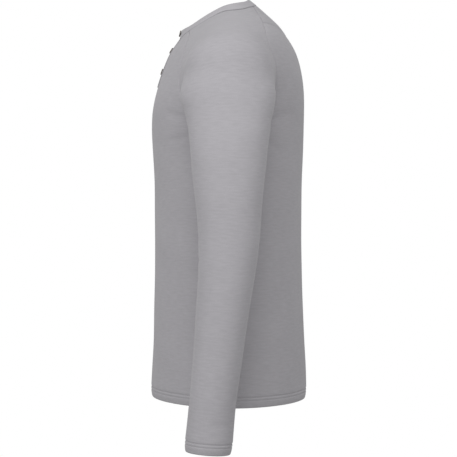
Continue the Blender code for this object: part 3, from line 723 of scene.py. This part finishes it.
def span_ramp(ramp, colours, stops=(0.0, 1.0)):
    """Sets the two ends of a colour ramp."""
    for element, colour, stop in zip(ramp.color_ramp.elements, colours, stops):
        element.position, element.color = stop, colour


def jersey_material(name, level):
    """Melange jersey: short streaks of lighter and darker fibre along the courses, a knit of fine
    wales, and a soft nap."""
    material, shader, node, links = shader_of(name)
    cloth = node("ShaderNodeUVMap", uv_map="cloth").outputs["UV"]

    def streaks(scale, detail):
        spread = node("ShaderNodeMapping", {"Vector": cloth, "Scale": scale})
        found = node("ShaderNodeTexNoise", {"Vector": spread.outputs[0], "Scale": 1.0, "Detail": detail})
        found.noise_dimensions = "2D"
        return found.outputs["Fac"]

    fibre = streaks(*FIBRE[:2])
    mixed = node("ShaderNodeMath", {0: fibre, 1: FIBRE[2]}, operation="MULTIPLY")
    for scale, detail, share in (SLUB, CLOUD):
        added = {0: streaks(scale, detail), 1: share, 2: mixed.outputs[0]}
        mixed = node("ShaderNodeMath", added, operation="MULTIPLY_ADD")
    ramp = node("ShaderNodeValToRGB", {"Fac": mixed.outputs[0]})
    ends = (grey(level * (1 - MELANGE_SPREAD)), grey(level * (1 + MELANGE_SPREAD)))
    span_ramp(ramp, ends, MELANGE_STOPS)
    links.new(ramp.outputs["Color"], shader.inputs["Base Color"])
    wales = node("ShaderNodeMapping", {"Vector": cloth, "Scale": (1 / WALE, 1 / COURSE, 1.0)})
    loops = node("ShaderNodeTexVoronoi", {"Vector": wales.outputs[0], "Scale": 1.0})
    loops.voronoi_dimensions, loops.feature = "2D", "F1"
    raised = {0: loops.outputs["Distance"], 1: LOOP_HEIGHT, 2: fibre}
    height = node("ShaderNodeMath", raised, operation="MULTIPLY_ADD")
    bump = node("ShaderNodeBump", {"Height": height.outputs[0], "Strength": 0.22, "Distance": 0.0003})
    links.new(bump.outputs[0], shader.inputs["Normal"])
    shader.inputs["Roughness"].default_value = 0.92
    shader.inputs["Specular IOR Level"].default_value = 0.25
    shader.inputs["Sheen Weight"].default_value = 0.08
    shader.inputs["Sheen Roughness"].default_value = 0.6
    return material


def thread_material(level):
    """Spun polyester thread, with its twist."""
    material, shader, node, links = shader_of("thread")
    place = node("ShaderNodeTexCoord").outputs["Object"]
    twist = node("ShaderNodeTexNoise", {"Vector": place, "Scale": 2500.0, "Detail": 2.0})
    ramp = node("ShaderNodeValToRGB", {"Fac": twist.outputs["Fac"]})
    span_ramp(ramp, (grey(level * 0.8), grey(level * 1.2)))
    links.new(ramp.outputs["Color"], shader.inputs["Base Color"])
    bump = node("ShaderNodeBump", {"Height": twist.outputs["Fac"], "Strength": 0.3, "Distance": 0.0001})
    links.new(bump.outputs[0], shader.inputs["Normal"])
    shader.inputs["Roughness"].default_value = 0.6
    shader.inputs["Sheen Weight"].default_value = 0.1
    return material


def button_material():
    """Dark polyester resin with the clouds of horn and a satin polish."""
    material, shader, node, links = shader_of("button")
    place = node("ShaderNodeTexCoord").outputs["Object"]
    wisps = {"Vector": place, "Scale": 260.0, "Detail": 4.0, "Distortion": 0.8}
    cloud = node("ShaderNodeTexNoise", wisps)
    ramp = node("ShaderNodeValToRGB", {"Fac": cloud.outputs["Fac"]})
    span_ramp(ramp, (RESIN_DARK, RESIN_LIGHT), RESIN_STOPS)
    links.new(ramp.outputs["Color"], shader.inputs["Base Color"])
    fine = node("ShaderNodeTexNoise", {"Vector": place, "Scale": 4000.0, "Detail": 2.0})
    bump = node("ShaderNodeBump", {"Height": fine.outputs["Fac"], "Strength": 0.08, "Distance": 0.0001})
    links.new(bump.outputs[0], shader.inputs["Normal"])
    shader.inputs["Roughness"].default_value = 0.38
    shader.inputs["Specular IOR Level"].default_value = 0.5
    return material


def plain_material(name, colour, roughness):
    """One even finish, for what isn't part of the shirt."""
    material, shader = shader_of(name)[:2]
    shader.inputs["Base Color"].default_value = colour
    shader.inputs["Roughness"].default_value = roughness
    return material


MATERIALS = {
    "jersey": jersey_material("jersey_melange", JERSEY_LEVEL),
    "band": jersey_material("band_melange", BAND_LEVEL),
    "thread": thread_material(THREAD_LEVEL),
    "button": button_material(),
}


# ---------------------------------------------------------------- the shirt's panels


# Each with a place on its outer side and the way that it faces there.
PANELS = {
    "front": Panel("front", (0.02, -0.13, -0.30), (0, -1, 0)),
    "back": Panel("back", (0.0, 0.13, -0.30), (0, 1, 0)),
    "back_yoke": Panel("back_yoke", (0.0, 0.08, -0.02), (0, 0.8, 0.6)),
    "sleeve_left": Panel("sleeve_left", (0.105, 0.0, -0.012), (0.3, 0, 0.95)),
    "sleeve_right": Panel("sleeve_right", (-0.105, 0.0, -0.012), (-0.3, 0, 0.95)),
    "neckband": Panel("neckband", (0.0, 0.043, 0.024), (0, 1, 0.3)),
    "placket_over": Panel("placket_over", (0.0, -0.12, -0.09), (0, -1, 0.3)),
    "placket_under": Panel("placket_under", (0.0, -0.12, -0.09), (0, -1, 0.3)),
}
STITCH = stitch_form()
LAID_CREASES = list(crease_lines())


def grooves(at, lines):
    """How much of a groove's depth places have that lie near lines."""
    return sum(np.exp(-(((at - line) / GROOVE_HALF_WIDTH) ** 2)) for line in lines)


def strip_stops(length, lines=()):
    """Places across or down a narrow strip, closer where stitches groove it along lines."""
    also = [line + gap for line in lines for gap in GROOVE_STOPS]
    return stops(length, ROUND_EDGE, ROUND_EDGE, FINE_STEP, also)


def body_panels():
    """Front, back and back yoke."""
    for name in ("front", "back"):
        panel = PANELS[name]
        slot_sides = panel.columns[SLOT_COLUMNS] if name == "front" else ()
        top_edge = NECK_EDGE if name == "front" else YOKE_EDGE
        down = hem_stops(panel.length, top_edge, STEP)
        across = stops(panel.width, SEAM_EDGE, SEAM_EDGE, STEP, slot_sides)
        knit(name + "_jersey", panel, down, across, JERSEY, "jersey")
        sew(name + "_hem_stitches", hem_runs(panel), SEAM_STITCH)
    yoke = PANELS["back_yoke"]
    down = stops(yoke.length, NECK_EDGE, YOKE_EDGE, STEP)
    across = stops(yoke.width, SEAM_EDGE, SEAM_EDGE, STEP)
    knit("back_yoke_jersey", yoke, down, across, JERSEY, "jersey")


def sleeves():
    """Both sleeves, each one panel from the neckband to its hem."""
    for side in ("left", "right"):
        panel = PANELS["sleeve_" + side]
        down = hem_stops(panel.length, NECK_EDGE, STEP)
        across = stops(panel.width, SEAM_EDGE, SEAM_EDGE, STEP)
        knit(f"sleeve_{side}_jersey", panel, down, across, JERSEY, "jersey")
        sew(f"sleeve_{side}_hem_stitches", hem_runs(panel), SEAM_STITCH)


def neckband():
    """The band round the neck. Its upper edge stands where it is while its seam lies lower with the
    cloth, and past the end that it laps over, it settles back onto the front."""
    panel = PANELS["neckband"]
    down, across = strip_stops(panel.length), strip_stops(panel.width)
    places, depths = np.transpose(LAP_SETTLES)
    full = fullness(panel.grid(down[:, 0], across[:, 0]))

    def pressed(down, across):
        share = LAP_TOP_SHARE + (1 - LAP_TOP_SHARE) * down / panel.length
        return np.interp(across, places, depths) * share + full * (1 - down / panel.length)

    knit("neckband_jersey", panel, down, across, BAND_THICK, "band", pressed)


def placket_rows(panel):
    """The stitched box of a placket, as corners: down one side, along its foot and up the other, and
    once more across above the foot."""
    left, right, low = PLACKET_SIDE, panel.width - PLACKET_SIDE, panel.length - PLACKET_LOW
    upper = panel.length - PLACKET_BOX
    return [
        [(PLACKET_LOW, left), (low, left)],
        [(low, left), (low, right)],
        [(low, right), (PLACKET_LOW, right)],
        [(upper, left), (upper, right)],
    ]


def plackets():
    """Both strips of the placket, the box of stitches pressed into them and sewn on the upper one."""
    for name in ("placket_over", "placket_under"):
        panel = PANELS[name]
        rows = (panel.length - PLACKET_LOW, panel.length - PLACKET_BOX)
        columns = (PLACKET_SIDE, panel.width - PLACKET_SIDE)

        def pressed(down, across):
            return GROOVE_DEPTH * np.minimum(grooves(down, rows) + grooves(across, columns), 1.0)

        down, across = strip_stops(panel.length, rows), strip_stops(panel.width, columns)
        knit(name + "_jersey", panel, down, across, PLACKET_THICK, "band", pressed)
    over = PANELS["placket_over"]
    sew("placket_stitches", [run(over, row, GROOVE_DEPTH) for row in placket_rows(over)], SEAM_STITCH)


# ---------------------------------------------------------------- buttons


def select_faces(made, wanted):
    """Selects the faces of the mesh in edit mode that wanted picks."""
    edited = bmesh.from_edit_mesh(made.data)
    for face in edited.faces:
        face.select_set(wanted(face))
    edited.select_flush_mode()
    bmesh.update_edit_mesh(made.data)


def button_form():
    """One button at the origin, its face up: a turned disc with a raised rim, a dish and four holes."""
    deselect()
    bpy.ops.mesh.primitive_cylinder_add(vertices=48, radius=BUTTON_RADIUS, depth=BUTTON_HEIGHT)
    made = bpy.context.object
    bpy.ops.object.mode_set(mode="EDIT")
    bpy.ops.mesh.select_mode(type="FACE")
    select_faces(made, lambda face: face.normal.z > 0.9)
    bpy.ops.mesh.inset(thickness=BUTTON_RIM)
    for width, depth in (BUTTON_SLOPE, BUTTON_DISH):
        bpy.ops.mesh.inset(thickness=width, depth=depth)
    bpy.ops.mesh.select_mode(type="EDGE")
    edited = bmesh.from_edit_mesh(made.data)
    for edge in edited.edges:
        one, other = edge.verts
        outermost = min(one.co.xy.length, other.co.xy.length) > BUTTON_RADIUS - SMALL
        edge.select_set(outermost and abs(one.co.z - other.co.z) < SMALL)
    bmesh.update_edit_mesh(made.data)
    bpy.ops.mesh.bevel(offset=BUTTON_ROUNDING, segments=4, affect="EDGES")
    bpy.ops.object.mode_set(mode="OBJECT")
    for x, y in itertools.product((-BUTTON_HOLE_OFFSET, BUTTON_HOLE_OFFSET), repeat=2):
        deselect()
        bpy.ops.mesh.primitive_cylinder_add(
            vertices=16, radius=BUTTON_HOLE_RADIUS, depth=4 * BUTTON_HEIGHT, location=(x, y, 0)
        )
        drill = bpy.context.object
        bore = made.modifiers.new("hole", "BOOLEAN")
        bore.object, bore.operation, bore.solver = drill, "DIFFERENCE", "EXACT"
        bpy.context.view_layer.objects.active = made
        bpy.ops.object.modifier_apply(modifier=bore.name)
        bpy.data.objects.remove(drill)
    deselect()
    made.select_set(True)
    bpy.ops.object.shade_smooth_by_angle(angle=math.radians(32))
    return made


def button_place(node):
    """Where a button of the frame lies, as a matrix: its middle, and its face outwards."""
    points = np.array([vertex.co for vertex in frame["nodes"][node].data.vertices])
    middle = (points.min(axis=0) + points.max(axis=0)) / 2
    axis = np.linalg.svd(points - middle, full_matrices=False)[2][2]
    if axis[1] > 0:
        axis = -axis
    return Matrix.LocRotScale(Vector(middle), Vector(axis).to_track_quat("Z", "Y"), None)


def buttonhole(name, panel, middle, upright):
    """A sewn buttonhole under a button: close stitches along both sides of its slit and a bar at each
    end. Upright ones run down the panel."""
    down, across = np.linspace(0, panel.length, FINE_ROWS), np.linspace(0, panel.width, FINE_COLUMNS)
    gaps = np.linalg.norm(panel.grid(down, across) - middle, axis=-1)
    i, j = np.unravel_index(gaps.argmin(), gaps.shape)
    centre = np.array([down[i], across[j]])
    along, aside = np.eye(2) if upright else np.eye(2)[::-1]

    def crosswise(place, reach):
        """Close stitches across a line that reaches to either side of a place."""
        spots, way, out = run(panel, [place - reach * along, place + reach * along], 0.0, HOLE_PITCH)
        return spots, np.cross(out, way), out

    sides = [crosswise(centre + side * HOLE_HALF_WIDTH * aside, HOLE_LENGTH / 2) for side in (-1, 1)]
    sew(name + "_stitches", sides, HOLE_STITCH)
    bars = [crosswise(centre + side * HOLE_LENGTH / 2 * along, BAR_HALF) for side in (-1, 1)]
    sew(name + "_bars", bars, BAR_STITCH)


def buttons():
    """The three buttons, each with its thread and the buttonhole under it."""
    form = button_form()
    for number in (1, 2, 3):
        node = f"button_{number}"
        place = button_place(node)
        made = form.copy()
        made.data = form.data.copy()
        made.name = made.data.name = f"button_{number}_turned"
        bpy.context.scene.collection.objects.link(made)
        made.data.transform(place)
        dressed(made, "button", node)
        strands = []
        middle, turn = np.array(place.translation), np.array(place.to_3x3())
        height = BUTTON_HEIGHT / 2 - BUTTON_STRAND_DEPTH
        for y in (-BUTTON_HOLE_OFFSET, BUTTON_HOLE_OFFSET):
            spots = np.array([(0.0, y + gap, height) for gap in BUTTON_STRANDS]) @ turn.T + middle
            way, out = (np.tile(turn[:, axis], (len(spots), 1)) for axis in (0, 2))
            strands.append((spots, way, out))
        sew(f"button_{number}_thread", strands, BUTTON_THREAD)
        panel = PANELS["neckband" if number == 1 else "placket_over"]
        buttonhole(f"buttonhole_{number}", panel, middle, number > 1)
    bpy.data.objects.remove(form)


# ---------------------------------------------------------------- the cut

SLEEVES = ("sleeve_left_jersey", "sleeve_right_jersey")

# Width, length and area of each flat cut in metres, with its hem turned down, and what it hangs from.
CUTS = {
    "front": (0.493, 0.750, 0.2805, (*SLEEVES, "neckband_jersey")),
    "back": (0.493, 0.740, 0.2929, ("back_yoke_jersey", *SLEEVES)),
    "back_yoke": (0.246, 0.085, 0.0119, (*SLEEVES, "neckband_jersey")),
    "sleeve_left": (0.363, 0.881, 0.2120, ()),
    "sleeve_right": (0.363, 0.881, 0.2120, ()),
    "neckband": (0.534, 0.0206, 0.0094, SLEEVES),
    "placket_over": (0.0265, 0.0965, 0.0025, ("front_jersey", "neckband_jersey")),
    "placket_under": (0.0262, 0.0955, 0.0025, ("front_jersey", "neckband_jersey")),
}
SEWN_ON = {
    **{name: (name + "_hem_stitches",) for name in ("front", "back", "sleeve_left", "sleeve_right")},
    "neckband": ("buttonhole_1_stitches", "buttonhole_1_bars"),
    "placket_over": (
        "placket_stitches",
        "buttonhole_2_stitches",
        "buttonhole_2_bars",
        "buttonhole_3_stitches",
        "buttonhole_3_bars",
    ),
}


def state_cuts():
    """Looks up by name what is sewn on every sheet of cloth and lists what each hangs from; the flat
    cuts in CUTS are read but not stated.
    """
    made = bpy.data.objects
    for name, (width, length, area, hangs_from) in CUTS.items():
        [made[sewn] for sewn in SEWN_ON.get(name, ())]
        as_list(hangs_from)


body_panels()
sleeves()
neckband()
plackets()
buttons()
state_cuts()


# ---------------------------------------------------------------- studio

FLOOR_HEIGHT = -1.45
FLOOR_RADIUS = 3.6
FLOOR_GREY = (0.45, 0.45, 0.45, 1.0)
AMBIENT = 0.62  # the share of its white that the backdrop gives as light
LIGHT_SIZE = 1.2
LIGHT_AIM = (0.1, 0.0, -0.35)
# Watts and place of each soft light.
LIGHTS = {
    "left_front": (44, (2.2, -1.7, 0.6)),
    "left_back": (25, (2.2, 1.7, 0.6)),
    "left_top": (31, (1.9, 0.0, 1.9)),
    "right_front": (10, (-2.3, -1.7, 0.3)),
    "right_back": (10, (-2.3, 1.7, 0.3)),
}
CAMERA_SPOT = (2.4, 0.0, -0.380)
PICTURE = 457  # pixels across
LENS = 1337  # pixels from the lens to the picture
SENSOR = 36  # millimetres across


def backdrop():
    """A white world all round, dimmer as light than as it is seen."""
    world = bpy.data.worlds.new("studio")
    bpy.context.scene.world = world
    world.use_nodes = True
    nodes, links = world.node_tree.nodes, world.node_tree.links
    seen = nodes.new("ShaderNodeLightPath")
    level = nodes.new("ShaderNodeMath")
    level.operation = "MULTIPLY_ADD"
    level.inputs[1].default_value, level.inputs[2].default_value = 1 - AMBIENT, AMBIENT
    links.new(seen.outputs["Is Camera Ray"], level.inputs[0])
    nodes["Background"].inputs["Color"].default_value = (1, 1, 1, 1)
    links.new(level.outputs[0], nodes["Background"].inputs["Strength"])


def studio():
    """A pale floor where the wearer would stand, soft light, and the camera level with the shirt."""
    bpy.ops.mesh.primitive_circle_add(
        vertices=128, radius=FLOOR_RADIUS, fill_type="NGON", location=(0, 0, FLOOR_HEIGHT)
    )
    floor = bpy.context.object
    floor.name = "floor"
    floor.data.materials.append(plain_material("floor", FLOOR_GREY, 0.9))
    for name, (energy, spot) in LIGHTS.items():
        light = bpy.data.lights.new(name, "AREA")
        light.size, light.energy = LIGHT_SIZE, energy
        lamp = bpy.data.objects.new(name, light)
        bpy.context.scene.collection.objects.link(lamp)
        lamp.location = spot
        lamp.rotation_euler = (Vector(LIGHT_AIM) - lamp.location).to_track_quat("-Z", "Y").to_euler()
    camera = bpy.data.cameras.new("camera")
    camera.sensor_width = SENSOR
    camera.lens = LENS / PICTURE * SENSOR
    viewer = bpy.data.objects.new("camera", camera)
    bpy.context.scene.collection.objects.link(viewer)
    viewer.location = CAMERA_SPOT
    viewer.rotation_euler = (math.radians(90), 0, math.radians(90))
    bpy.context.scene.camera = viewer
    bpy.context.scene.view_settings.view_transform = "Standard"


backdrop()
studio()
